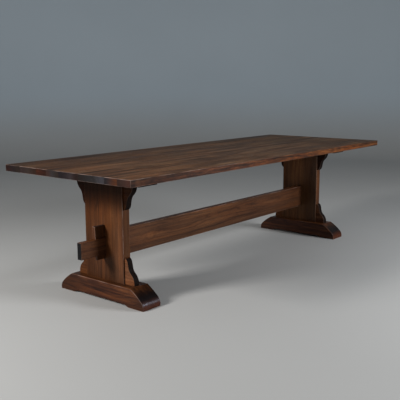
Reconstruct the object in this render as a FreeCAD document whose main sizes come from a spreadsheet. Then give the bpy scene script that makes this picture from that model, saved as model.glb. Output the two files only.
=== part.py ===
import FreeCAD
import Part
import Sketcher

import math
import os

from FreeCAD import Placement, Rotation, Vector

# Trestle dining table, knock-down stretcher with through tenons and loose keys.
# Frame: origin on the floor under the middle of the top, +X along the top,
# +Z up, -Y towards the front. The left trestle stands at -X, the right one at +X.

doc = FreeCAD.newDocument("trestle_table")
sizes = doc.addObject("Spreadsheet::Sheet", "Sizes")

# Driving dimensions in millimetres, and counts
driving = {
    # top
    "table_length": 2743,
    "table_height": 762,
    "top_thickness": 38,
    "top_ease": 3,
    "board_1": 136,
    "board_2": 147,
    "board_3": 87,
    "board_4": 102,
    "board_5": 161,
    "board_6": 197,
    "board_7": 93,
    "board_8": 93,
    # loose splines in the seams between the boards
    "spline_length": 60,
    "spline_width": 24,
    "spline_thickness": 6,
    "spline_spacing": 580,
    "spline_count": 5,
    # trestles, set in from the ends of the top
    "trestle_inset": 305,
    "frame_ease": 2,
    # foot
    "foot_length": 688,
    "foot_height": 108,
    "foot_thickness": 140,
    "toe_run": 98,
    "toe_nose": 10,
    "toe_turn_run": 16,
    "toe_turn_height": 48,
    "toe_ease": 4,
    "pad_length": 119,
    "arch_rise": 12,
    "arch_ramp": 25,
    # post and its twin tenons
    "post_width": 311,
    "post_thickness": 53,
    "twin_width": 90,
    "twin_gap": 60,
    "twin_thickness": 25,
    "foot_tenon": 60,
    "bearer_tenon": 26,
    # bearer, and how far it runs past its outermost screw
    "bearer_past_screw": 32.5,
    "bearer_width": 140,
    "bearer_height": 44.5,
    # brackets
    "bracket_reach": 74,
    "bracket_height": 152,
    "bracket_thickness": 38,
    # dowels, half of each in the bracket and half in its mate
    "dowel_radius": 5,
    "dowel_length": 40,
    "dowel_low": 38,
    "dowel_high": 105,
    "dowel_out": 48,
    # stretcher
    "rail_height": 160,
    "rail_thickness": 44.5,
    "rail_underside": 229,
    "rail_tenon_height": 96,
    "rail_tenon_thickness": 32,
    "rail_tenon_lift": 32,
    "rail_tenon_reach": 184,
    "rail_ease": 3,
    # loose keys through the stretcher's tenons
    "key_top_width": 77,
    "key_bottom_width": 65,
    "key_thickness": 19,
    "key_above": 73,
    "key_below": 26,
    "key_slot_recess": 6,
    "key_ease": 2,
    # screws and washers that hold the top down
    "screw_radius": 2.75,
    "screw_head_radius": 5.5,
    "screw_head_height": 3.5,
    "screw_point": 6,
    "screw_bite": 25,
    "screw_row_spacing": 84,
    "screw_recess": 12,
    "screw_recess_radius": 9,
    "screw_slot_travel": 8,
    "washer_radius": 8,
    "washer_thickness": 1.5,
    # clearances
    "glue_gap": 0.1,
    "hole_gap": 0.3,
    "key_gap": 0.3,
    "end_gap": 1,
    # how far a through cut runs past the faces
    "overrun": 10,
}
for row, (name, value) in enumerate(driving.items(), start=1):
    sizes.set(f"A{row}", name)
    sizes.set(f"B{row}", str(value))
    sizes.setAlias(f"B{row}", name)
doc.recompute()

# Places worked out from the driving dimensions
board_names = [name for name in driving if name.startswith("board_")]
top_width = "(" + " + ".join(f"Sizes.{name}" for name in board_names) + ")"
top_underside = "(Sizes.table_height - Sizes.top_thickness)"
bearer_underside = f"({top_underside} - Sizes.bearer_height)"
trestle_x = "(Sizes.table_length / 2 - Sizes.trestle_inset)"
post_outer_face = f"({trestle_x} + Sizes.post_thickness / 2)"
post_inner_face = f"({trestle_x} - Sizes.post_thickness / 2)"
half_post = "(Sizes.post_width / 2)"
tenon_underside = "(Sizes.rail_underside + Sizes.rail_tenon_lift)"
tenon_top = f"({tenon_underside} + Sizes.rail_tenon_height)"
key_height = "(Sizes.key_below + Sizes.rail_tenon_height + Sizes.key_above)"
dowel_hole_radius = "Sizes.dowel_radius + Sizes.glue_gap"
dowel_hole_depth = "Sizes.dowel_length / 2 + Sizes.end_gap"


def back_edge(board):
    """Y of a board's back edge; the first board is at the back of the top."""
    before = board_names[:board_names.index(board)]
    return "(" + " - ".join([f"{top_width} / 2"] + [f"Sizes.{name}" for name in before]) + ")"


def board_centre(board):
    return f"({back_edge(board)} - Sizes.{board} / 2)"


# Drawing helpers

near = 0.001
x_way, y_way, z_way = Vector(1, 0, 0), Vector(0, 1, 0), Vector(0, 0, 1)


def value_of(expression):
    result = sizes.evalExpression(expression.replace("Sizes.", ""))
    return float(result.Value) if hasattr(result, "Value") else float(result)


def new_body(label):
    body = doc.addObject("PartDesign::Body", label)
    body.Label = label
    return body


def origin_item(body, role):
    return next(item for item in body.Origin.OriginFeatures if item.Role == role)


def new_sketch(body, name, plane_role, lift="0"):
    """An empty sketch on one of the body's own origin planes, raised along its normal."""
    sketch = body.newObject("Sketcher::SketchObject", name)
    sketch.AttachmentSupport = [(origin_item(body, plane_role), "")]
    sketch.MapMode = "FlatFace"
    if lift != "0":
        sketch.setExpression("AttachmentOffset.Base.z", lift)
    return sketch


def pin_point(sketch, geometry, end, across, up):
    """Hold one sketch point at two expressions, measured from the sketch's origin."""
    for kind, axis, place in (("DistanceX", -2, across), ("DistanceY", -1, up)):
        if place is None:
            continue
        if place == "0":
            sketch.addConstraint(Sketcher.Constraint("PointOnObject", geometry, end, axis))
        else:
            held = Sketcher.Constraint(kind, -1, 1, geometry, end, value_of(place))
            index = sketch.addConstraint(held)
            sketch.setExpression(f"Constraints[{index}]", place)


def add_outline(sketch, corners):
    """A closed outline of (across, up) corners. The first edge is straight. From a corner
    marked "bend" leaves an arc tangent to the edge before it; "free" lets its across drift,
    so that the arcs on both its sides stay tangent."""
    places = [Vector(value_of(corner[0]), value_of(corner[1]), 0) for corner in corners]
    heading = None
    edges = []
    for turn, start in enumerate(places):
        end = places[(turn + 1) % len(places)]
        chord = (end - start).normalize()
        if "bend" in corners[turn]:
            lean = heading.getAngle(chord)
            bulge = (heading - chord * heading.dot(chord)).normalize()
            middle = (start + end) / 2 + bulge * start.distanceToPoint(end) / 2 * math.tan(lean / 2)
            shape = Part.Arc(start, middle, end)
            heading = chord * 2 * heading.dot(chord) - heading
        else:
            shape = Part.LineSegment(start, end)
            heading = chord
        geometry = sketch.addGeometry(shape, False)
        forwards = sketch.getPoint(geometry, 1).distanceToPoint(start) < near
        edges.append((geometry, 1, 2) if forwards else (geometry, 2, 1))
    for turn, (geometry, start, _) in enumerate(edges):
        across, up, *marks = corners[turn]
        before, _, before_end = edges[turn - 1]
        joint = "Tangent" if "bend" in marks or "smooth" in marks else "Coincident"
        sketch.addConstraint(Sketcher.Constraint(joint, before, before_end, geometry, start))
        pin_point(sketch, geometry, start, None if "free" in marks else across, up)


def add_rectangle(sketch, left, right, low, high):
    add_outline(sketch, [(left, low), (right, low), (right, high), (left, high)])


def add_circle(sketch, across, up, radius):
    place = Vector(value_of(across), value_of(up), 0)
    circle = sketch.addGeometry(Part.Circle(place, Vector(0, 0, 1), value_of(radius)), False)
    pin_point(sketch, circle, 3, across, up)
    index = sketch.addConstraint(Sketcher.Constraint("Radius", circle, value_of(radius)))
    sketch.setExpression(f"Constraints[{index}]", radius)


def volume_now(body):
    doc.recompute()
    return body.Shape.Volume


def pad(body, sketch, length, side_type="Symmetric"):
    feature = body.newObject("PartDesign::Pad", sketch.Name + "Pad")
    feature.Profile = sketch
    feature.SideType = side_type
    feature.setExpression("Length", length)
    doc.recompute()
    return feature


def pocket(body, sketch, length):
    """Cut the sketch to both sides of its plane, and make sure that it cuts."""
    before = volume_now(body)
    feature = body.newObject("PartDesign::Pocket", sketch.Name + "Pocket")
    feature.Profile = sketch
    feature.SideType = "Symmetric"
    feature.setExpression("Length", length)
    if not volume_now(body) < before:
        raise RuntimeError(f"{feature.Name} cuts nothing")
    return feature


def mirrored(body, original, plane_role):
    feature = body.newObject("PartDesign::Mirrored", original.Name + "Mirror")
    feature.Originals = [original]
    feature.MirrorPlane = (origin_item(body, plane_role), [""])
    body.Tip = feature
    doc.recompute()
    return feature


def ease(body, radius, chosen):
    """Round the edges that the test picks, by one radius."""
    doc.recompute()
    base = body.Tip
    names = [f"Edge{n}" for n, edge in enumerate(base.Shape.Edges, start=1) if chosen(edge)]
    feature = body.newObject("PartDesign::Fillet", body.Name + "Ease" + str(len(body.Group)))
    feature.Base = (base, names)
    feature.setExpression("Radius", radius)
    doc.recompute()
    return feature


def along(edge, direction):
    """True for a straight edge in the direction."""
    line = edge.Vertexes[-1].Point - edge.Vertexes[0].Point
    straight = abs(line.Length - edge.Length) < near
    return straight and line.cross(direction).Length < near


def at(edge, axis, place):
    """True where the whole edge lies in the plane across the axis."""
    box = edge.BoundBox
    low, high = {"x": (box.XMin, box.XMax), "y": (box.YMin, box.YMax), "z": (box.ZMin, box.ZMax)}[axis]
    return abs(low - place) < near and abs(high - place) < near


def place_at(piece, x="0", y="0", z="0", turn=None):
    """Put a piece at expressions for its base point, after a turn about an axis."""
    if turn is not None:
        piece.Placement = Placement(Vector(), Rotation(*turn))
    for axis, expression in (("x", x), ("y", y), ("z", z)):
        if expression != "0":
            piece.setExpression(f"Placement.Base.{axis}", expression)


def grouped(label, pieces):
    """One node that holds identical fasteners as separate solids."""
    group = doc.addObject("Part::Compound", label)
    group.Label = label
    group.Links = pieces
    return group


nodes = []

# Top boards, edge-glued. Those over the bearers are screwed down along their middle.
screwed_boards = ["board_2", "board_3", "board_4", "board_5", "board_6"]
half_bearer = f"({board_centre(screwed_boards[0])} + Sizes.bearer_past_screw)"
sides = {"left": "-1", "right": "1"}
rows = {"outer": "-1", "inner": "1"}
half_length = "(Sizes.table_length / 2)"
slot_half = "(Sizes.spline_length / 2 + Sizes.glue_gap)"
slot_reach = "(Sizes.spline_width / 2 + Sizes.glue_gap)"
first_slot = "(-Sizes.spline_spacing * (Sizes.spline_count - 1) / 2)"


def trestle_middle(side):
    return f"{sides[side]} * {trestle_x}"


def screw_x(side, row):
    return f"({trestle_middle(side)} + {rows[row]} * Sizes.screw_row_spacing / 2)"


def make_board(name):
    half_width = f"(Sizes.{name} / 2)"
    body = new_body(name)
    plan = new_sketch(body, name + "Plan", "XY_Plane")
    add_rectangle(plan, f"-{half_length}", half_length, f"-{half_width}", half_width)
    pad(body, plan, "Sizes.top_thickness", "One side")
    outer_edges = {board_names[0]: (1,), board_names[-1]: (-1,)}.get(name, ())
    end_x, side_y = value_of(half_length), value_of(half_width)
    low_z, high_z = 0, value_of("Sizes.top_thickness")

    def outer(edge):
        on_face = at(edge, "z", low_z) or at(edge, "z", high_z)
        on_end = at(edge, "x", end_x) or at(edge, "x", -end_x)
        on_side = any(at(edge, "y", way * side_y) for way in outer_edges)
        return on_end and on_side or on_face and (on_end or on_side)

    ease(body, "Sizes.top_ease", outer)
    for way in (1, -1):
        if way in outer_edges:
            continue
        slot = new_sketch(body, f"{name}Slot{'Back' if way > 0 else 'Front'}", "XY_Plane",
                          "Sizes.top_thickness / 2")
        add_rectangle(slot, f"{first_slot} - {slot_half}", f"{first_slot} + {slot_half}",
                      f"{way} * {half_width} - {slot_reach}", f"{way} * {half_width} + {slot_reach}")
        cut = pocket(body, slot, "Sizes.spline_thickness + 2 * Sizes.glue_gap")
        repeat = body.newObject("PartDesign::LinearPattern", slot.Name + "Row")
        repeat.Originals = [cut]
        repeat.Direction = (slot, ["H_Axis"])
        repeat.setExpression("Length", "Sizes.spline_spacing * (Sizes.spline_count - 1)")
        repeat.setExpression("Occurrences", "Sizes.spline_count")
        body.Tip = repeat
        doc.recompute()
    if name in screwed_boards:
        pilots = new_sketch(body, name + "Pilots", "XY_Plane")
        for side in sides:
            for row in rows:
                add_circle(pilots, screw_x(side, row), "0", "Sizes.screw_radius + Sizes.hole_gap")
        pocket(body, pilots, "2 * (Sizes.screw_bite + Sizes.end_gap)")
    place_at(body, y=board_centre(name), z=top_underside)
    nodes.append(body)


for board in board_names:
    make_board(board)

# Loose splines, half in each of the two boards that meet at a seam
splines = []
for board in board_names[1:]:
    for place in range(driving["spline_count"]):
        spline = doc.addObject("Part::Box", f"spline_behind_{board}_{place + 1}")
        spline.setExpression("Length", "Sizes.spline_length")
        spline.setExpression("Width", "Sizes.spline_width")
        spline.setExpression("Height", "Sizes.spline_thickness")
        place_at(spline,
                 x=f"{first_slot} + {place} * Sizes.spline_spacing - Sizes.spline_length / 2",
                 y=f"{back_edge(board)} - Sizes.spline_width / 2",
                 z=f"{top_underside} + Sizes.top_thickness / 2 - Sizes.spline_thickness / 2")
        splines.append(spline)
nodes.append(grouped("board_splines", splines))


# Foot: sled foot on two pads, with a shallow arch between them


def half_foot_outline():
    """From the middle of the arch round the back half; across is Y, up is Z."""
    half = "Sizes.foot_length / 2"
    return [("0", "Sizes.arch_rise"),
            (f"{half} - Sizes.pad_length - Sizes.arch_ramp", "Sizes.arch_rise"),
            (f"{half} - Sizes.pad_length", "0"),
            (half, "0"),
            (half, "Sizes.toe_nose", "bend"),
            (f"{half} - Sizes.toe_turn_run", "Sizes.toe_turn_height", "bend"),
            (f"{half} - Sizes.toe_run", "Sizes.foot_height"),
            ("0", "Sizes.foot_height")]


def twin_spans():
    """Y spans of the two tenons side by side."""
    inner = "Sizes.twin_gap / 2"
    outer = "(Sizes.twin_gap / 2 + Sizes.twin_width)"
    return [(f"-{outer}", f"-{inner}"), (inner, outer)]


def cut_twin_mortises(body, name, depth, lift="0"):
    mortises = new_sketch(body, name, "XY_Plane", lift)
    half = "(Sizes.twin_thickness / 2 + Sizes.glue_gap)"
    for low, high in twin_spans():
        add_rectangle(mortises, f"-{half}", half, f"{low} - Sizes.glue_gap", f"{high} + Sizes.glue_gap")
    pocket(body, mortises, f"2 * ({depth} + Sizes.end_gap)")


def cut_bracket_dowels(body, name, lift="0"):
    """Holes for the dowels that stand in the bearing surface under or over the brackets."""
    holes = new_sketch(body, name, "XY_Plane", lift)
    for way in (1, -1):
        add_circle(holes, "0", f"{way} * ({half_post} + Sizes.dowel_out)", dowel_hole_radius)
    pocket(body, holes, f"2 * ({dowel_hole_depth})")


def make_foot(side):
    body = new_body(side + "_foot")
    outline = new_sketch(body, side + "FootOutline", "YZ_Plane")
    add_outline(outline, half_foot_outline())
    mirrored(body, pad(body, outline, "Sizes.foot_thickness"), "XZ_Plane")
    face_x = value_of("Sizes.foot_thickness / 2")
    toe_start = value_of("Sizes.foot_length / 2 - Sizes.toe_run")
    on_floor = value_of("Sizes.arch_rise")

    def toe_edge(edge):
        at_side = at(edge, "x", face_x) or at(edge, "x", -face_x)
        box = edge.BoundBox
        beyond = max(abs(box.YMin), abs(box.YMax)) > toe_start + near
        return at_side and beyond and box.ZMax > on_floor + near

    def top_edge(edge):
        at_side = at(edge, "x", face_x) or at(edge, "x", -face_x)
        return at_side and at(edge, "z", value_of("Sizes.foot_height"))

    ease(body, "Sizes.toe_ease", lambda edge: toe_edge(edge) or top_edge(edge))
    cut_twin_mortises(body, side + "FootMortises", "Sizes.foot_tenon", "Sizes.foot_height")
    cut_bracket_dowels(body, side + "FootDowelHoles", "Sizes.foot_height")
    place_at(body, x=trestle_middle(side))
    nodes.append(body)


# Post: wide plank with twin tenons, and a mortise for the stretcher


def make_post(side):
    body = new_body(side + "_post")
    plank = new_sketch(body, side + "PostPlank", "YZ_Plane")
    add_rectangle(plank, f"-{half_post}", half_post, "Sizes.foot_height", bearer_underside)
    pad(body, plank, "Sizes.post_thickness")
    face_x, edge_y = value_of("Sizes.post_thickness / 2"), value_of(half_post)

    def long_edge(edge):
        corner = at(edge, "x", face_x) or at(edge, "x", -face_x)
        return corner and (at(edge, "y", edge_y) or at(edge, "y", -edge_y))

    ease(body, "Sizes.frame_ease", long_edge)
    tenons = new_sketch(body, side + "PostTenons", "YZ_Plane")
    for low, high in twin_spans():
        add_rectangle(tenons, low, high, "Sizes.foot_height - Sizes.foot_tenon",
                      f"{bearer_underside} + Sizes.bearer_tenon")
    pad(body, tenons, "Sizes.twin_thickness")
    mortise = new_sketch(body, side + "PostMortise", "YZ_Plane")
    half = "(Sizes.rail_tenon_thickness / 2 + Sizes.glue_gap)"
    add_rectangle(mortise, f"-{half}", half, f"{tenon_underside} - Sizes.glue_gap",
                  f"{tenon_top} + Sizes.glue_gap")
    pocket(body, mortise, "Sizes.post_thickness + Sizes.overrun")
    for way in (1, -1):
        edge_name = "Back" if way > 0 else "Front"
        holes = new_sketch(body, f"{side}Post{edge_name}Holes", "XZ_Plane", f"{-way} * {half_post}")
        for height in ("Sizes.dowel_low", "Sizes.dowel_high"):
            add_circle(holes, "0", f"Sizes.foot_height + {height}", dowel_hole_radius)
            add_circle(holes, "0", f"{bearer_underside} - {height}", dowel_hole_radius)
        pocket(body, holes, f"2 * ({dowel_hole_depth})")
    place_at(body, x=trestle_middle(side))
    nodes.append(body)


# Bearer: cleat under the top, slotted for the screws so that the top can shrink and swell


def make_bearer(side):
    body = new_body(side + "_bearer")
    bar = new_sketch(body, side + "BearerBar", "YZ_Plane")
    add_rectangle(bar, f"-{half_bearer}", half_bearer, "0", "Sizes.bearer_height")
    pad(body, bar, "Sizes.bearer_width")
    ease(body, "Sizes.frame_ease", lambda edge: at(edge, "z", 0))
    cut_twin_mortises(body, side + "BearerMortises", "Sizes.bearer_tenon")
    cut_bracket_dowels(body, side + "BearerDowelHoles")
    recesses = new_sketch(body, side + "BearerRecesses", "XY_Plane")
    slots = new_sketch(body, side + "BearerSlots", "XY_Plane")
    for board in screwed_boards:
        for row in rows.values():
            across = f"({row} * Sizes.screw_row_spacing / 2)"
            add_slot(recesses, across, board_centre(board), "Sizes.screw_recess_radius")
            add_slot(slots, across, board_centre(board), "(Sizes.screw_radius + Sizes.hole_gap)")
    pocket(body, recesses, "2 * Sizes.screw_recess")
    pocket(body, slots, "2 * (Sizes.bearer_height + Sizes.overrun)")
    place_at(body, x=trestle_middle(side), z=bearer_underside)
    nodes.append(body)


def add_slot(sketch, across, up, radius):
    """A round-ended slot along the table's width."""
    low = f"({up} - Sizes.screw_slot_travel / 2)"
    high = f"({up} + Sizes.screw_slot_travel / 2)"
    add_outline(sketch, [(f"{across} + {radius}", low), (f"{across} + {radius}", high, "bend"),
                         (f"{across} - {radius}", high), (f"{across} - {radius}", low, "bend")])


# Brackets: ogee corner pieces, the same shape four times on each trestle.
# Across is the reach from the post, up is the distance from the foot or the bearer.

lip_share = 0.066
turn_reach_share, turn_share = 0.66, 0.414
waist_reach_share, waist_share = 0.405, 0.625
neck_reach_share, neck_share = 0.324, 0.822


def bracket_outline():
    reach, height = "Sizes.bracket_reach", "Sizes.bracket_height"
    return [("0", "0"), (reach, "0"),
            (reach, f"{lip_share} * {height}", "bend"),
            (f"{turn_reach_share} * {reach}", f"{turn_share} * {height}", "bend", "free"),
            (f"{waist_reach_share} * {reach}", f"{waist_share} * {height}", "smooth"),
            (f"{neck_reach_share} * {reach}", f"{neck_share} * {height}", "bend"),
            ("0", height)]


def make_bracket(side, level, way):
    label = f"{side}_{level}_bracket_{'back' if way > 0 else 'front'}"
    name = label.title().replace("_", "")
    body = new_body(label)
    outline = new_sketch(body, name + "Outline", "YZ_Plane")
    add_outline(outline, bracket_outline())
    pad(body, outline, "Sizes.bracket_thickness")
    face_x = value_of("Sizes.bracket_thickness / 2")

    def shown_edge(edge):
        at_side = at(edge, "x", face_x) or at(edge, "x", -face_x)
        return at_side and not at(edge, "y", 0) and not at(edge, "z", 0)

    ease(body, "Sizes.frame_ease", shown_edge)
    post_holes = new_sketch(body, name + "PostHoles", "XZ_Plane")
    for height in ("Sizes.dowel_low", "Sizes.dowel_high"):
        add_circle(post_holes, "0", height, dowel_hole_radius)
    pocket(body, post_holes, f"2 * ({dowel_hole_depth})")
    base_hole = new_sketch(body, name + "BaseHole", "XY_Plane")
    add_circle(base_hole, "0", "Sizes.dowel_out", dowel_hole_radius)
    pocket(body, base_hole, f"2 * ({dowel_hole_depth})")
    turns = {
        ("lower", 1): None,
        ("lower", -1): (z_way, 180),
        ("upper", 1): (y_way, 180),
        ("upper", -1): (x_way, 180),
    }
    place_at(body, x=trestle_middle(side), y=f"{way} * {half_post}",
             z="Sizes.foot_height" if level == "lower" else bearer_underside, turn=turns[level, way])
    nodes.append(body)


def new_dowel(name, x, y, z, turn=None):
    """A dowel whose middle is at the joint between two pieces."""
    dowel = doc.addObject("Part::Cylinder", name)
    dowel.setExpression("Radius", "Sizes.dowel_radius")
    dowel.setExpression("Height", "Sizes.dowel_length")
    place_at(dowel, x, y, z, turn)
    return dowel


def make_bracket_dowels(side):
    dowels = []
    x = trestle_middle(side)
    for way, edge_name in ((1, "back"), (-1, "front")):
        for level, datum, up in (("lower", "Sizes.foot_height", 1), ("upper", bearer_underside, -1)):
            name = f"{side}_{level}_dowel_{edge_name}"
            for height in ("low", "high"):
                dowels.append(new_dowel(
                    f"{name}_{height}", x, f"{way} * {half_post} + Sizes.dowel_length / 2",
                    f"{datum} + {up} * Sizes.dowel_{height}", (x_way, 90)))
            dowels.append(new_dowel(
                f"{name}_base", x, f"{way} * ({half_post} + Sizes.dowel_out)",
                f"{datum} - Sizes.dowel_length / 2"))
    nodes.append(grouped(side + "_bracket_dowels", dowels))


# Screws and washers from below, through the bearer into the boards

screw_length = "(Sizes.bearer_height - Sizes.screw_recess + Sizes.washer_thickness + Sizes.screw_bite)"


def turned_profile(name, points):
    """A half profile in the XZ plane: across is the radius, up is along the axis."""
    sketch = doc.addObject("Sketcher::SketchObject", name)
    sketch.Placement = Placement(Vector(), Rotation(x_way, 90))
    add_outline(sketch, points)
    return sketch


screw_profile = turned_profile("ScrewProfile", [
    ("0", "-Sizes.screw_head_height"),
    ("Sizes.screw_head_radius", "-Sizes.screw_head_height"),
    ("Sizes.screw_head_radius", "0"),
    ("Sizes.screw_radius", "0"),
    ("Sizes.screw_radius", f"{screw_length} - Sizes.screw_point"),
    ("0", screw_length),
])
washer_profile = turned_profile("WasherProfile", [
    ("Sizes.screw_radius + Sizes.hole_gap", "0"),
    ("Sizes.washer_radius", "0"),
    ("Sizes.washer_radius", "Sizes.washer_thickness"),
    ("Sizes.screw_radius + Sizes.hole_gap", "Sizes.washer_thickness"),
])


def turned(name, profile, x, y, z):
    piece = doc.addObject("Part::Revolution", name)
    piece.Source = profile
    piece.Axis = z_way
    piece.Base = Vector()
    piece.Angle = 360
    piece.Solid = True
    place_at(piece, x, y, z)
    return piece


def make_bearer_screws(side):
    screws, washers = [], []
    washer_underside = f"{bearer_underside} + Sizes.screw_recess - Sizes.washer_thickness"
    for board in screwed_boards:
        for row in rows:
            place = (screw_x(side, row), board_centre(board), washer_underside)
            screws.append(turned(f"{side}_screw_{board}_{row}", screw_profile, *place))
            washers.append(turned(f"{side}_washer_{board}_{row}", washer_profile, *place))
    nodes.append(grouped(side + "_bearer_screws", screws))
    nodes.append(grouped(side + "_bearer_washers", washers))


# Stretcher: rail between the posts, with long through tenons slotted for the keys

key_slope = f"((Sizes.key_top_width - Sizes.key_bottom_width) / {key_height})"


def key_width_at(height):
    """Width of a key at a height above the tenon's underside, negative below it."""
    return f"(Sizes.key_bottom_width + {key_slope} * ({height} + Sizes.key_below))"


def make_stretcher():
    body = new_body("stretcher")
    rail = new_sketch(body, "StretcherRail", "XZ_Plane")
    add_rectangle(rail, f"-{post_inner_face}", post_inner_face, "Sizes.rail_underside",
                  "Sizes.rail_underside + Sizes.rail_height")
    pad(body, rail, "Sizes.rail_thickness")
    ease(body, "Sizes.rail_ease", lambda edge: along(edge, x_way))
    tenons = new_sketch(body, "StretcherTenons", "XZ_Plane")
    tip = f"({post_outer_face} + Sizes.rail_tenon_reach)"
    add_rectangle(tenons, f"-{tip}", tip, tenon_underside, tenon_top)
    pad(body, tenons, "Sizes.rail_tenon_thickness")
    tip_x = value_of(tip)
    ease(body, "Sizes.frame_ease", lambda edge: at(edge, "x", tip_x) or at(edge, "x", -tip_x))
    slots = new_sketch(body, "StretcherKeySlots", "XZ_Plane")
    for way in (1, -1):
        inner = f"{way} * ({post_outer_face} - Sizes.key_slot_recess)"
        corners = []
        for height in ("(-Sizes.key_below)", "(Sizes.rail_tenon_height + Sizes.key_above)"):
            level = f"{tenon_underside} + {height}"
            outer = f"{way} * ({post_outer_face} + 2 * Sizes.key_gap + {key_width_at(height)})"
            corners.append([(inner, level), (outer, level)])
        add_outline(slots, corners[0] + corners[1][::-1])
    pocket(body, slots, "Sizes.key_thickness + 2 * Sizes.key_gap")
    nodes.append(body)


# Keys: loose wedges that bear on the posts' outer faces and pull the shoulders tight


def make_key(side):
    body = new_body(side + "_key")
    outline = new_sketch(body, side + "KeyOutline", "XZ_Plane")
    way = sides[side]
    inner = f"{way} * ({post_outer_face} + Sizes.key_gap)"
    low, high = f"{tenon_underside} - Sizes.key_below", f"{tenon_top} + Sizes.key_above"
    add_outline(outline, [(inner, low),
                          (f"{way} * ({post_outer_face} + Sizes.key_gap + Sizes.key_bottom_width)", low),
                          (f"{way} * ({post_outer_face} + Sizes.key_gap + Sizes.key_top_width)", high),
                          (inner, high)])
    pad(body, outline, "Sizes.key_thickness")
    ease(body, "Sizes.key_ease", lambda edge: True)
    nodes.append(body)


for side in sides:
    make_foot(side)
    make_post(side)
    make_bearer(side)
    for level in ("lower", "upper"):
        for way in (1, -1):
            make_bracket(side, level, way)
    make_bracket_dowels(side)
    make_bearer_screws(side)
make_stretcher()
for side in sides:
    make_key(side)

# Check everything before writing anything
doc.recompute()
for item in doc.Objects:
    if "Invalid" in item.State or "Error" in item.State:
        raise RuntimeError(f"{item.Name} failed: {item.State}")
for node in nodes:
    if node.Shape.isNull() or not node.Shape.isValid():
        raise RuntimeError(f"{node.Label} has no valid shape")

os.makedirs("parts", exist_ok=True)
for node in nodes:
    node.Shape.exportStep(f"parts/{node.Label}.step")
    solids = node.Shape.Solids
    print(f"{node.Label}: {len(solids)} solid(s), {node.Shape.Volume / 1000:.1f} cm3")
print(len(nodes), "nodes written")
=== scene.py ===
import math

import bmesh
import bpy
from mathutils import Matrix, Vector


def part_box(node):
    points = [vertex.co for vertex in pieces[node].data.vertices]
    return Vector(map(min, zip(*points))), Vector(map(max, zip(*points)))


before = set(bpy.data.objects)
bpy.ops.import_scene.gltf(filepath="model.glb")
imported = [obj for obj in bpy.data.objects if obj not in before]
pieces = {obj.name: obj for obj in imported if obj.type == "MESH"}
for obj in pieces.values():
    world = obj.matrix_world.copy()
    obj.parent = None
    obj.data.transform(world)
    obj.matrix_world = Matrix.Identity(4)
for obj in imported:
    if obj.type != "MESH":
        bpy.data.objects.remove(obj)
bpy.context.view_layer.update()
print("frame loaded:", len(pieces), "pieces")


# Camera, standing low off the near left corner

cameraSetup = {
    "place": (-3.56395, -2.74219, 1.22299),  # metres
    "heading": 39.46,  # degrees from +X towards +Y
    "pitch": -10.15,
    "roll": -0.2,
    "focal": 658.77,  # pixels
    "imageWidth": 400,  # pixels
    "sensor": 36,  # mm
    "reach": (0.05, 60),  # nearest and farthest that it sees
}


def makeCamera(setup):
    data = bpy.data.cameras.new("Camera")
    data.sensor_width = setup["sensor"]
    data.lens = setup["focal"] * setup["sensor"] / setup["imageWidth"]
    data.clip_start, data.clip_end = setup["reach"]
    heading, pitch, roll = (math.radians(setup[key]) for key in ("heading", "pitch", "roll"))
    level = Vector((math.cos(heading), math.sin(heading), 0))
    ahead = level * math.cos(pitch) + Vector((0, 0, math.sin(pitch)))
    right = Vector((math.sin(heading), -math.cos(heading), 0))
    up = right.cross(ahead)
    rightSide = right * math.cos(roll) + up * math.sin(roll)
    upSide = up * math.cos(roll) - right * math.sin(roll)
    camera = bpy.data.objects.new("Camera", data)
    camera.matrix_world = Matrix((rightSide, upSide, -ahead)).transposed().to_4x4()
    camera.location = setup["place"]
    bpy.context.scene.collection.objects.link(camera)
    bpy.context.scene.camera = camera


makeCamera(cameraSetup)
bpy.context.scene.view_settings.view_transform = "Standard"
print("camera set")


# Shader maths: a wire is one socket's value, and sums of wires add their own Math nodes


class Wire:
    def __init__(self, finish, socket):
        self.finish, self.socket = finish, socket

    def maths(self, operation, *values):
        return self.finish.node("ShaderNodeMath", {"operation": operation}, dict(enumerate(values)))

    def __add__(self, other):
        return self.maths("ADD", self, other)

    def __radd__(self, other):
        return self.maths("ADD", other, self)

    def __sub__(self, other):
        return self.maths("SUBTRACT", self, other)

    def __rsub__(self, other):
        return self.maths("SUBTRACT", other, self)

    def __mul__(self, other):
        return self.maths("MULTIPLY", self, other)

    def __rmul__(self, other):
        return self.maths("MULTIPLY", other, self)

    def __truediv__(self, other):
        return self.maths("DIVIDE", self, other)

    def __pow__(self, other):
        return self.maths("POWER", self, other)


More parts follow.
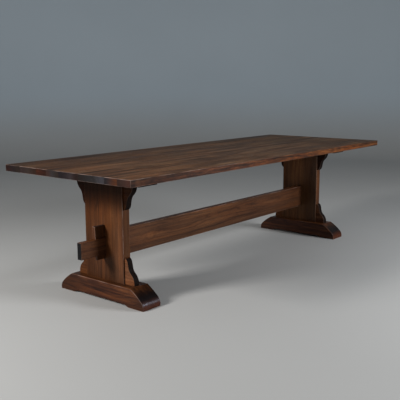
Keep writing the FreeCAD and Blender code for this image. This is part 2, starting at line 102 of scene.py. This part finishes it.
class Finish:
    def __init__(self, name):
        self.material = bpy.data.materials.new(name)
        self.material.use_nodes = True
        self.tree = self.material.node_tree
        self.tree.nodes.clear()

    def find(self, sockets, key):
        if isinstance(key, int):
            return sockets[key]
        return next(socket for socket in sockets if socket.enabled and socket.name == key)

    def node(self, kind, settings=None, sockets=None, outlets=0):
        made = self.tree.nodes.new(kind)
        for key, value in (settings or {}).items():
            if key == "stops":
                self.setStops(made.color_ramp, value)
            else:
                setattr(made, key, value)
        for key, value in (sockets or {}).items():
            socket = self.find(made.inputs, key)
            if isinstance(value, Wire):
                self.tree.links.new(value.socket, socket)
            else:
                socket.default_value = value
        if isinstance(outlets, tuple):
            return [Wire(self, self.find(made.outputs, key)) for key in outlets]
        return Wire(self, self.find(made.outputs, outlets))

    def setStops(self, ramp, stops):
        while len(ramp.elements) > len(stops):
            ramp.elements.remove(ramp.elements[-1])
        while len(ramp.elements) < len(stops):
            ramp.elements.new(1)
        for element, (place, colour) in zip(ramp.elements, stops):
            element.position = place
            element.color = (*colour, 1)

    def split(self, vector):
        fed = {"Vector": vector}
        return self.node("ShaderNodeSeparateXYZ", sockets=fed, outlets=("X", "Y", "Z"))

    def bump(self, height, strength):
        fed = {"Strength": strength, "Distance": 1.0, "Height": height}
        return self.node("ShaderNodeBump", sockets=fed)

    def close(self, sockets):
        shader = self.node("ShaderNodeBsdfPrincipled", sockets=sockets)
        self.node("ShaderNodeOutputMaterial", sockets={"Surface": shader}, outlets=())
        return self.material


# Helpers that every finish uses


def stretchedNoise(finish, space, sizes, detail, rough=0.5):
    # noise from -0.5 to 0.5 whose blots have these sizes along, across and deep
    scaled = [way / size for way, size in zip(space, sizes)]
    vector = finish.node("ShaderNodeCombineXYZ", sockets=dict(enumerate(scaled)))
    fed = {"Vector": vector, "Scale": 1.0, "Detail": detail, "Roughness": rough}
    return finish.node("ShaderNodeTexNoise", sockets=fed) - 0.5


def fade(finish, value, start, end):
    # 0 up to the start, 1 from the end on, smooth between
    fed = {"Value": value, "From Min": start, "From Max": end}
    return finish.node("ShaderNodeMapRange", {"interpolation_type": "SMOOTHSTEP"}, fed)


def mixColours(finish, amount, first, second, blend="MIX"):
    settings = {"data_type": "RGBA", "blend_type": blend}
    fed = {"Factor": amount, "A": first, "B": second}
    return finish.node("ShaderNodeMix", settings, fed, "Result")


def tinted(finish, colour, tint):
    return mixColours(finish, 1.0, colour, tint, "MULTIPLY")


def paint(colour):
    return (*colour, 1)


def passThrough(finish, share, colours):
    # the first colour at share 0, the last at share 1 and the others evenly between
    passed = paint(colours[0])
    step = 1 / max(len(colours) - 1, 1)
    for turn, colour in enumerate(colours[1:]):
        amount = fade(finish, share, turn * step, (turn + 1) * step)
        passed = mixColours(finish, amount, passed, paint(colour))
    return passed


# Stained wood. Every piece has its own tree: the grain's direction, where its pith lay, and a seed.
# Sizes are metres along the grain, across it and through the piece. Spans run from no effect to full.

woodLook = {
    "grain": "xyz",  # the piece's axes along the grain, across it and through the piece
    "seed": 0.0,
    "pith": (0.02, -0.16),  # across and deep, from the piece's middle
    "sway": 0.05,  # how far the tree's heart wanders
    "swaySizes": (1.1, 0.5, 0.5),
    "wobble": 0.014,  # small bends in the rings
    "wobbleSizes": (0.22, 0.05, 0.05),
    "ring": 0.0042,
    "lateWood": 0.13,  # how much each ring darkens towards its end
    "lateWoodSpan": (0.35, 0.92),
    "figure": 0.7,  # broad bands that follow the rings
    "figureWidth": 0.017,
    "figureLength": 1.6,
    "figureDepth": 0.4,
    "vein": 0.3,  # dark mineral veins, which follow the rings too
    "veinWidth": 0.007,
    "veinLength": 0.9,
    "veinSpan": (0.13, 0.25),
    "streak": 0.7,
    "streakSizes": (0.6, 0.020, 0.020),
    "patch": 0.45,
    "patchSizes": (0.45, 0.16, 0.16),
    "fibre": 0.3,
    "fibreSizes": (0.07, 0.0022, 0.0022),
    "pore": 0.55,
    "poreSizes": (0.014, 0.0011, 0.0011),
    "poreSpan": (0.10, 0.20),
    "fleck": 0.5,  # small dark dents and bits of bark
    "fleckSizes": (0.012, 0.004, 0.004),
    "fleckSpan": (0.20, 0.28),
    "sideStreak": 0.0,  # short streaks on the faces across the grain
    "sideStreakSizes": (0.07, 0.02, 0.009),
    "sideSpan": (0.3, 0.7),  # how far a face turns to the side
    "knots": (),  # along, across and radius of each
    "shades": ((0.015, 0.0052, 0.0022), (0.054, 0.0175, 0.0058),
               (0.112, 0.0370, 0.0110), (0.215, 0.0800, 0.0270)),  # from dark to light
    "shadePlaces": (0.04, 0.36, 0.62, 0.98),
    "tone": 1.0,
    "faceTints": ((1, 1, 1),),  # how the colour drifts from the - end to the + end, carrying painted shade or light on some pieces
    "sideTints": ((1, 1, 1),),  # the same on the faces across the grain
    "acrossTints": ((1, 1, 1),),  # and how it drifts from the + side to the - side
    "driftSway": 0.3,
    "acrossSway": 0.3,
    "coolTint": (0.94, 1.0, 1.08),
    "warmTint": (1.06, 1.0, 0.92),
    "hueSizes": (0.5, 0.045, 0.045),
    "hueSpan": (-0.12, 0.12),
    "endColours": ((0.020, 0.010, 0.008),),  # side by side over the end
    "endSpan": (0.12, 0.42),  # how far a face turns to the end
    "endShade": 1.8,  # how the figure shows in the end grain, then the other marks
    "endStreak": 0.6,
    "endLateWood": 0.35,
    "endPore": 0.3,
    "seam": 0.0,  # dark line where boards meet
    "seamWidth": 0.0022,
    "arrises": "x",  # axes whose faces have eased edges
    # lighter arrises: partly wear, partly a painted highlight where eased edges catch the light
    "wornAndHighlightColour": (0.33, 0.235, 0.20),
    "wearAndHighlight": 0.5,
    "wearAndHighlightSizes": (0.10, 0.10, 0.10),
    "rubbedAndLitSpan": (-0.16, 0.18),
    "wearAndHighlightSpan": (8, 9),  # along the piece, where its arrises go from rubbed and highlighted to nearly plain
    "wearAndHighlightLoss": 0.75,
    "roughness": 0.38,
    "sheenStreak": 0.16,  # how much the streaks change the roughness
    "patchRoughness": 0.10,
    "poreRoughness": 0.2,
    "endRoughness": 0.18,
    "specular": 0.11,
    "specularTint": (1, 1, 1),
    "bump": 0.5,
    "hewn": 0.0016,  # height of the tool's soft waves
    "hewnSizes": (0.16, 0.05, 0.05),
    "streakHeight": 0.0004,
    "fibreHeight": 0.00022,
    "poreDepth": 0.00022,
    "lateWoodDepth": 0.00008,
}
knotLook = {
    "flatten": 0.35,  # below 1 a knot is longer than wide
    "ripple": 3.0,
    "rippleSizes": (1.5, 0.8, 0.8),  # in radii of the knot, as the push is
    "push": 1.5,  # how far the rings bend round it
    "pushAlong": 0.09,
    "pushAcross": 0.6,
    "pushSpan": (5, 0),
    "heart": 0.4,
    "heartSpan": (0.4, -0.4),
    "halo": 0.3,
    "haloSpan": (7.0, 0),
}


class Grain:
    # where a point lies in the piece's tree, and what grew there
    def __init__(self, finish, look):
        self.finish, self.look = finish, look
        place, facing = finish.node("ShaderNodeTexCoord", outlets=("Object", "Normal"))
        xyz, self.normals = finish.split(place), finish.split(facing)
        axes = ["xyz".index(letter) for letter in look["grain"]]
        self.along, self.across, self.deep = (xyz[axis] - look["centre"][axis] for axis in axes)
        self.halfLength, self.halfWidth = (look["halfSize"][axis] for axis in axes[:2])
        self.space = (self.along + look["seed"], self.across, self.deep)
        self.onEnd = fade(finish, self.normals[axes[0]] ** 2, *look["endSpan"])
        self.onSide = fade(finish, self.normals[axes[1]] ** 2, *look["sideSpan"])
        self.growRings()
        self.addMarks()

    def noise(self, sizes, detail, rough=0.5):
        return stretchedNoise(self.finish, self.space, self.look[sizes], detail, rough)

    def growRings(self):
        look = self.look
        sway = self.noise("swaySizes", detail=1) * look["sway"]
        aside = self.across + sway - look["pith"][0]
        under = self.deep + sway - look["pith"][1]
        wobble = self.noise("wobbleSizes", detail=2) * look["wobble"]
        self.radius = (aside * aside + under * under) ** 0.5 + wobble
        self.heart = self.halo = 0
        for knot in look["knots"]:
            self.addKnot(*knot)
        phase = self.radius / look["ring"]
        phase = phase.maths("FRACT", phase)
        start, end = look["lateWoodSpan"]
        dropped = fade(self.finish, phase, end, 1)
        self.lateWood = fade(self.finish, phase, start, end) * (1 - dropped)

    def addKnot(self, along, across, size):
        # a knot pushes the rings aside
        far, wide = (self.along - along) / size, (self.across - across) / size
        sizes = [size * share for share in knotLook["rippleSizes"]]
        ripple = stretchedNoise(self.finish, self.space, sizes, detail=3) * knotLook["ripple"]
        reach = far * far * knotLook["flatten"] + wide * wide + ripple
        bend = far * far * knotLook["pushAlong"] + wide * wide * knotLook["pushAcross"]
        push = fade(self.finish, bend, *knotLook["pushSpan"]) * (size * knotLook["push"])
        self.radius = self.radius + push
        self.heart = self.heart + fade(self.finish, reach, *knotLook["heartSpan"])
        self.halo = self.halo + fade(self.finish, reach, *knotLook["haloSpan"])

    def addMarks(self):
        look, finish = self.look, self.finish
        ringSpace = (self.radius, self.space[0], self.deep)
        figureSizes = (look["figureWidth"], look["figureLength"], look["figureDepth"])
        veinSizes = (look["veinWidth"], look["veinLength"], look["figureDepth"])
        self.figure = stretchedNoise(finish, ringSpace, figureSizes, detail=2.5, rough=0.6)
        vein = stretchedNoise(finish, ringSpace, veinSizes, detail=2)
        self.vein = fade(finish, vein, *look["veinSpan"])
        self.streak = self.noise("streakSizes", detail=4, rough=0.6)
        self.patch = self.noise("patchSizes", detail=2.5)
        self.fibre = self.noise("fibreSizes", detail=2)
        self.pore = fade(finish, self.noise("poreSizes", detail=1), *look["poreSpan"])
        self.drift = 0.5 + (self.along / self.halfLength + self.patch * look["driftSway"]) / 2
        swayed = self.across + self.patch * self.halfWidth * look["acrossSway"]
        self.sideways = 0.5 - swayed / (2 * self.halfWidth)


def faceStain(finish, look, grain):
    # the stain on every face along the grain
    tone = 0.5 + grain.figure * look["figure"] + grain.streak * look["streak"]
    tone = tone + grain.patch * look["patch"] + grain.fibre * look["fibre"]
    tone = tone - grain.lateWood * look["lateWood"] - grain.vein * look["vein"]
    sideStreak = grain.noise("sideStreakSizes", detail=3, rough=0.7)
    tone = tone + sideStreak * grain.onSide * look["sideStreak"]
    stops = list(zip(look["shadePlaces"], look["shades"]))
    stain = finish.node("ShaderNodeValToRGB", {"stops": stops}, {"Fac": tone}, "Color")
    stain = tinted(finish, stain, paint((look["tone"],) * 3))

    # slow drifts of the colour, which on the post, brackets and stretcher hold painted shade and
    # painted light
    faceTint = passThrough(finish, grain.drift, look["faceTints"])
    sideTint = passThrough(finish, grain.drift, look["sideTints"])
    stain = tinted(finish, stain, mixColours(finish, grain.onSide, faceTint, sideTint))
    stain = tinted(finish, stain, passThrough(finish, grain.sideways, look["acrossTints"]))
    warmth = fade(finish, grain.noise("hueSizes", detail=3, rough=0.6), *look["hueSpan"])
    hue = mixColours(finish, warmth, paint(look["coolTint"]), paint(look["warmTint"]))
    stain = tinted(finish, stain, hue)

    # flecks, pores and knots
    darkest, light = paint(look["shades"][0]), paint(look["shades"][-1])
    fleck = fade(finish, grain.noise("fleckSizes", detail=1), *look["fleckSpan"])
    stain = mixColours(finish, fleck * look["fleck"], stain, darkest)
    stain = mixColours(finish, grain.pore * look["pore"], stain, darkest)
    if look["knots"]:
        stain = mixColours(finish, grain.halo * (knotLook["halo"] + grain.streak), stain, light)
        stain = mixColours(finish, grain.heart * knotLook["heart"], stain, darkest)
    return stain


def endStain(finish, look, grain):
    # end grain drinks more stain; on the brackets and the toes its darkness is partly painted shade
    share = 1 / len(look["endColours"])
    stops = [((turn + 0.5) * share, colour) for turn, colour in enumerate(look["endColours"])]
    stain = finish.node("ShaderNodeValToRGB", {"stops": stops}, {"Fac": grain.sideways}, "Color")
    shade = 1.0 + grain.figure * look["endShade"] + grain.streak * look["endStreak"]
    shade = shade - grain.lateWood * look["endLateWood"] - grain.pore * look["endPore"]
    grey = finish.node("ShaderNodeCombineColor", sockets={0: shade, 1: shade, 2: shade})
    return tinted(finish, stain, grey)


def markSeam(finish, look, grain, stain):
    width = grain.across.maths("ABSOLUTE", grain.across)
    seam = fade(finish, width, grain.halfWidth - look["seamWidth"], grain.halfWidth)
    shown = seam * (1 - grain.onSide) * look["seam"]
    return mixColours(finish, shown, stain, paint(look["shades"][0]))


def rubAndHighlightArrises(finish, look, grain, stain):
    # each slope between two faces is made lighter in places: partly rubbed wear, partly a painted
    # highlight where eased edges catch the light
    wornAndLit = None
    for letter in look["arrises"]:
        square = grain.normals["xyz".index(letter)] ** 2
        slope = 4 * square * (1 - square)
        wornAndLit = slope if wornAndLit is None else wornAndLit.maths("MAXIMUM", wornAndLit, slope)
    rubbedAndLit = fade(finish, grain.noise("wearAndHighlightSizes", detail=3, rough=0.6), *look["rubbedAndLitSpan"])
    kept = 1 - fade(finish, grain.along, *look["wearAndHighlightSpan"]) * look["wearAndHighlightLoss"]
    shown = wornAndLit * rubbedAndLit * kept * look["wearAndHighlight"]
    return mixColours(finish, shown, stain, paint(look["wornAndHighlightColour"]))


def woodFinish(name, changes):
    look = {**woodLook, **changes}
    finish = Finish(name)
    grain = Grain(finish, look)
    face, end = faceStain(finish, look, grain), endStain(finish, look, grain)
    stain = mixColours(finish, grain.onEnd, face, end)
    if look["seam"]:
        stain = markSeam(finish, look, grain, stain)
    roughness = look["roughness"] - grain.streak * look["sheenStreak"]
    roughness = roughness + grain.patch * look["patchRoughness"]
    roughness = roughness + grain.pore * look["poreRoughness"] + grain.onEnd * look["endRoughness"]
    height = grain.noise("hewnSizes", detail=1) * look["hewn"]
    height = height + grain.streak * look["streakHeight"] + grain.fibre * look["fibreHeight"]
    height = height - grain.pore * look["poreDepth"] - grain.lateWood * look["lateWoodDepth"]
    return finish.close({
        "Base Color": rubAndHighlightArrises(finish, look, grain, stain),
        "Roughness": roughness,
        "Normal": finish.bump(height, look["bump"]),
        "Specular IOR Level": look["specular"],
        "Specular Tint": paint(look["specularTint"]),
    })


def dress(name, changes):
    low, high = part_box(name)
    place = {"centre": (low + high) / 2, "halfSize": (high - low) / 2}
    pieces[name].material_slots[0].material = woodFinish(name + "Wood", {**place, **changes})


# Top: eight boards, each from its own plank

boardLook = {
    "grain": "xyz",
    "arrises": "xz",
    "sheenStreak": 0.4,
    "figureLength": 0.8,
    "vein": 0.2,
    "hueSizes": (0.3, 0.04, 0.04),
    "coolTint": (0.92, 0.99, 1.06),
    "warmTint": (1.10, 1.0, 0.88),
    "faceTints": ((0.95, 1.28, 1.7), (0.97, 1.46, 2.2), (0.8, 1.22, 1.6)),
    # arris lightening strongest towards the left end: partly wear, partly painted highlight
    "wearAndHighlight": 0.8,
    "wearAndHighlightSpan": (-0.9, -0.2),
    "seam": 0.9,
    "roughness": 0.52,
    "endRoughness": 0.02,
    "endShade": 1.2,
    "specular": 0.13,
    "seedStep": 3.7,
}
boards = [  # from the far long side to the near one; tones go from the left end to the right one
    {"tones": (0.66, 0.80, 0.85), "pith": (0.030, -0.09), "figure": 0.7, "streak": 1.3,
     "streakSizes": (0.5, 0.022, 0.022),
     "endColours": ((0.013, 0.002, 0.0005), (0.011, 0.005, 0.005), (0.012, 0.006, 0.004))},
    {"tones": (0.90, 1.25, 1.30), "pith": (-0.050, -0.07), "figure": 0.9, "streak": 1.9,
     "streakSizes": (0.3, 0.014, 0.014),
     "endColours": ((0.019, 0.010, 0.009), (0.022, 0.013, 0.010), (0.015, 0.005, 0.002))},
    {"tones": (0.95, 0.85, 0.85), "pith": (0.010, -0.16), "figure": 0.6, "streak": 1.1,
     "streakSizes": (0.9, 0.034, 0.034),
     "endColours": ((0.031, 0.005, 0.0), (0.017, 0.0025, 0.0))},
    {"tones": (0.91, 1.05, 1.20), "pith": (0.020, 0.06), "figure": 1.1, "streak": 1.8,
     "streakSizes": (0.34, 0.017, 0.017),
     "endColours": ((0.027, 0.011, 0.008), (0.019, 0.015, 0.015), (0.015, 0.009, 0.007))},
    {"tones": (1.28, 1.15, 1.05), "pith": (-0.020, -0.11), "figure": 0.7, "streak": 1.5,
     "streakSizes": (0.6, 0.026, 0.026),
     "endColours": ((0.006, 0.003, 0.004), (0.011, 0.006, 0.007),
                    (0.021, 0.014, 0.015), (0.009, 0.002, 0.001))},
    {"tones": (1.15, 1.20, 1.30), "pith": (0.050, -0.06), "figure": 1.0, "streak": 2.0,
     "streakSizes": (0.28, 0.014, 0.014),
     "endColours": ((0.008, 0.004, 0.003), (0.010, 0.008, 0.008),
                    (0.014, 0.011, 0.011), (0.030, 0.027, 0.032))},
    {"tones": (1.35, 1.05, 0.80), "pith": (-0.030, 0.14), "figure": 0.7, "streak": 1.3,
     "streakSizes": (0.75, 0.024, 0.024),
     "endColours": ((0.010, 0.007, 0.009), (0.033, 0.012, 0.008), (0.060, 0.016, 0.003))},
    {"tones": (1.42, 1.20, 1.10), "pith": (0.015, -0.13), "figure": 0.8, "streak": 1.8,
     "streakSizes": (0.34, 0.016, 0.016),
     "endColours": ((0.021, 0.007, 0.004), (0.030, 0.011, 0.007), (0.037, 0.011, 0.006)),
     "sideStreak": 1.5,
     "sideTints": ((0.43, 0.37, 0.31), (0.66, 0.66, 0.9), (0.9, 0.82, 0.62),
                   (1.18, 1.06, 0.74), (0.6, 0.58, 0.5)),
     "knots": ((-1.322, -0.058, 0.007),)},
]
for number, board in enumerate(boards, start=1):
    tints = [Vector(tint) * tone for tint, tone in zip(boardLook["faceTints"], board["tones"])]
    changes = {**board, "faceTints": tints, "seed": boardLook["seedStep"] * number}
    dress(f"board_{number}", {**boardLook, **changes})
print("top finished")


# Trestles: foot, post, bearer and brackets

footLook = {
    "grain": "yzx",
    "seed": 41.3,
    "pith": (0.03, 0.11),
    "figure": 0.5,
    "streak": 1.6,
    "coolTint": (0.97, 1.0, 1.05),
    "warmTint": (1.03, 1.0, 0.95),
    "tone": 0.72,
    "faceTints": ((1.1, 1.15, 1.3), (1.12, 1.05, 1.1), (0.76, 0.74, 0.72)),
    "patchSizes": (0.22, 0.12, 0.12),
    # end grain darkest at the top of the toe as painted shade, partly stain; brown at the nose
    "endColours": ((0.005, 0.003, 0.0025), (0.007, 0.004, 0.0035), (0.056, 0.013, 0.003)),
    "endShade": 0.6,
    "hewn": 0.0035,
    "wearAndHighlight": 0.45,
    "endRoughness": -0.08,
    "specular": 0.16,
    "specularTint": (0.74, 0.82, 1.0),
}
postLook = {
    "grain": "zyx",
    "seed": 47.9,
    "pith": (0.05, -0.12),
    "streakSizes": (0.5, 0.032, 0.032),
    "figureWidth": 0.034,
    "figure": 0.35,
    "vein": 0.1,
    "patchSizes": (0.30, 0.10, 0.10),
    "tone": 1.05,
    "hewn": 0.0026,
    "wearAndHighlight": 0.8,
    "driftSway": 0.12,
    # painted shade on the narrow sides
    "sideTints": ((0.8, 0.8, 0.8),),
    # painted shade on the + side, painted light (lighter and bluer) on the - side
    "acrossTints": ((0.65, 0.6, 0.5), (1.1, 1.05, 0.95), (1.0, 1.0, 0.95), (1.0, 1.15, 1.45)),
    "specular": 0.07,
}
postTintsAndPaintedLight = {  # from the foot up; the left post's two top stops are painted shadow of the top, and the right post's lighter, greyer tints are painted sheen
    "left": ((0.75, 0.85, 1.2), (0.82, 0.95, 1.3), (0.96, 1.06, 1.36), (1.0, 1.14, 1.5),
             (1.0, 1.05, 1.15), (0.4, 0.36, 0.3), (0.3, 0.26, 0.2)),
    "right": ((1.3, 1.6, 2.2), (1.25, 1.7, 2.4), (1.6, 2.1, 3.1), (1.1, 1.35, 1.9)),
}
bearerLook = {
    "grain": "yxz",
    "seed": 52.1,
    "pith": (0.02, 0.12),
    "tone": 0.35,
    "endColours": ((0.003, 0.002, 0.002),),
    "wearAndHighlight": 0.2,
    "specular": 0.05,
}
bracketLook = {
    "grain": "yzx",
    "seed": 79.3,
    "seedStep": 1.3,
    "pith": (0.09, 0.06),
    "streakSizes": (0.2, 0.014, 0.014),
    "figure": 0.4,
    "tone": 1.2,
    # near-black curved ends: partly end grain taking stain, partly painted shade
    "endColours": ((0.007, 0.0035, 0.0025),),
    "endRoughness": 0.3,
    "specular": 0.05,
}
# upper brackets darkened as painted shade of the top; lower front bracket lightened and blued as a
# painted reflection; lower back one darker
bracketTintsAndPaintedLight = {
    "lower": {"back": (0.75, 0.8, 0.9), "front": (1.35, 1.6, 2.3)},
    "upper": {"back": (0.25, 0.2, 0.2), "front": (0.35, 0.32, 0.28)},
}
brackets = [(level, way) for level in ("lower", "upper") for way in ("back", "front")]
for turn, side in enumerate(("left", "right")):
    for piece, look in (("foot", footLook), ("post", postLook), ("bearer", bearerLook)):
        changes = {"seed": look["seed"] + turn}
        if piece == "post":
            changes["faceTints"] = postTintsAndPaintedLight[side]
        dress(f"{side}_{piece}", {**look, **changes})
    for count, (level, way) in enumerate(brackets, start=turn * len(brackets)):
        seed = bracketLook["seed"] + bracketLook["seedStep"] * count
        changes = {"seed": seed, "faceTints": (bracketTintsAndPaintedLight[level][way],)}
        dress(f"{side}_{level}_bracket_{way}", {**bracketLook, **changes})
print("trestles finished")


# Stretcher and its keys

stretcherLook = {
    "grain": "xzy",
    "pith": (0.03, 0.10),
    "seed": 83.2,
    "knots": ((-0.735, -0.004, 0.010),),
    "tone": 1.1,
    # darker towards the + end as painted shade
    "faceTints": ((0.82, 0.97, 1.4), (1.07, 1.27, 1.6), (0.61, 0.7, 0.95), (0.42, 0.5, 0.7)),
    "endColours": ((0.005, 0.0045, 0.005),),
    "endShade": 0.6,
    "arrises": "yx",
}
keyLook = {
    "grain": "zxy",
    "seed": 91.7,
    "pith": (0.05, 0.07),
    "faceTints": ((0.92, 1.0, 1.1),),
    "wearAndHighlight": 0.8,
    "arrises": "yx",
}
dress("stretcher", stretcherLook)
for turn, side in enumerate(("left", "right")):
    dress(f"{side}_key", {**keyLook, "seed": keyLook["seed"] + turn})
print("stretcher and keys finished")


# Hidden splines and dowels in plain beech

beechLook = {
    "grain": "yxz",
    "shades": ((0.22, 0.13, 0.07), (0.36, 0.23, 0.13), (0.46, 0.31, 0.19), (0.56, 0.40, 0.26)),
    "endColours": ((0.34, 0.22, 0.13),),
    "roughness": 0.6,
}
hiddenSeeds = {"board_splines": 101.0, "left_bracket_dowels": 104.0, "right_bracket_dowels": 104.0}
for name, seed in hiddenSeeds.items():
    dress(name, {**beechLook, "seed": seed})


# Screws and washers of zinc-plated steel

steelLook = {
    "bright": (0.56, 0.56, 0.54),
    "dull": (0.30, 0.31, 0.32),
    "dullSpan": (-0.1, 0.2),
    "roughness": 0.32,
    "blot": 0.004,  # size of the dull spots
    "blotRoughness": 0.3,
    "turnMark": 0.0006,  # width and depth of the fine marks left by turning
    "turnMarkDepth": 0.0001,
    "bump": 0.3,
}


def steelFinish(name, look):
    finish = Finish(name)
    xyz = finish.split(finish.node("ShaderNodeTexCoord", outlets="Object"))
    blot = stretchedNoise(finish, xyz, (look["blot"],) * 3, detail=3)
    marks = stretchedNoise(finish, xyz, (look["blot"], look["blot"], look["turnMark"]), detail=1)
    dulled = fade(finish, blot, *look["dullSpan"])
    return finish.close({
        "Base Color": mixColours(finish, dulled, paint(look["bright"]), paint(look["dull"])),
        "Metallic": 1.0,
        "Roughness": look["roughness"] + blot * look["blotRoughness"],
        "Normal": finish.bump(marks * look["turnMarkDepth"], look["bump"]),
    })


steel = steelFinish("zincSteel", steelLook)
for side in ("left", "right"):
    for kind in ("screws", "washers"):
        pieces[f"{side}_bearer_{kind}"].material_slots[0].material = steel
print("hidden pieces finished")


# Studio: a round pale floor that sweeps up into a wall

studioLook = {
    "floorRadius": 6.2,  # metres of flat floor
    "coveRadius": 2.2,
    "coveSteps": 12,
    "wallHeight": 1.6,
    "segments": 96,
    "mergeDistance": 0.0001,
    "floorColour": (0.42, 0.42, 0.41),
    "wallColour": (0.46, 0.53, 0.58),
    "wallColourRise": 1.1,  # metres over which one turns into the other
    "cloudSize": 1.6,
    "cloudStrength": 0.10,
    "roughness": 0.65,
}


def makeStudio(look):
    flat, cove, steps = look["floorRadius"], look["coveRadius"], look["coveSteps"]
    profile = [(0, 0), (flat / 2, 0), (flat, 0)]
    for step in range(1, steps + 1):
        angle = math.pi / 2 * step / steps
        profile.append((flat + cove * math.sin(angle), cove * (1 - math.cos(angle))))
    profile.append((flat + cove, cove + look["wallHeight"]))
    mesh = bmesh.new()
    corners = [mesh.verts.new((across, 0, up)) for across, up in profile]
    edges = [mesh.edges.new(pair) for pair in zip(corners, corners[1:])]
    bmesh.ops.spin(mesh, geom=corners + edges, cent=(0, 0, 0), axis=(0, 0, 1),
                   angle=2 * math.pi, steps=look["segments"])
    bmesh.ops.remove_doubles(mesh, verts=mesh.verts, dist=look["mergeDistance"])
    bmesh.ops.recalc_face_normals(mesh, faces=mesh.faces)
    data = bpy.data.meshes.new("studio")
    mesh.to_mesh(data)
    mesh.free()
    for face in data.polygons:
        face.use_smooth = True
    studio = bpy.data.objects.new("studio", data)
    bpy.context.scene.collection.objects.link(studio)

    finish = Finish("studioPaint")
    xyz = finish.split(finish.node("ShaderNodeTexCoord", outlets="Object"))
    cloud = stretchedNoise(finish, xyz, (look["cloudSize"],) * 3, detail=3)
    upWall = fade(finish, xyz[2], 0, look["wallColourRise"])
    colour = mixColours(finish, upWall, paint(look["floorColour"]), paint(look["wallColour"]))
    shade = (cloud + 0.5) * look["cloudStrength"]
    colour = mixColours(finish, shade, colour, paint((0, 0, 0)))
    data.materials.append(finish.close({"Base Color": colour, "Roughness": look["roughness"]}))


makeStudio(studioLook)


# Lights: a large soft one on the left, a wide one on the right, and a dim sky

lights = {
    "leftSoftbox": {
        "place": (-4.75, 1.35, 2.75), "aim": (-1.0, 0, 0.5),
        "size": (1.0, 1.5), "power": 265, "colour": (1.0, 0.98, 0.96),
    },
    "rightSoftbox": {
        "place": (1.6, -4.4, 2.0), "aim": (-0.4, 0, 0.5),
        "size": (1.8, 1.0), "power": 240, "colour": (0.95, 0.97, 1.0),
    },
}
sky = {"colour": (0.68, 0.71, 0.74), "strength": 0.16}


def makeLight(name, setup):
    data = bpy.data.lights.new(name, "AREA")
    data.shape = "RECTANGLE"
    data.size, data.size_y = setup["size"]
    data.energy = setup["power"]
    data.color = setup["colour"]
    light = bpy.data.objects.new(name, data)
    light.location = setup["place"]
    toAim = Vector(setup["aim"]) - Vector(setup["place"])
    light.rotation_euler = toAim.to_track_quat("-Z", "Y").to_euler()
    light.visible_camera = False
    bpy.context.scene.collection.objects.link(light)


for name, setup in lights.items():
    makeLight(name, setup)
world = bpy.data.worlds.new("sky")
world.use_nodes = True
background = world.node_tree.nodes["Background"]
background.inputs["Color"].default_value = paint(sky["colour"])
background.inputs["Strength"].default_value = sky["strength"]
bpy.context.scene.world = world
print("studio lit")
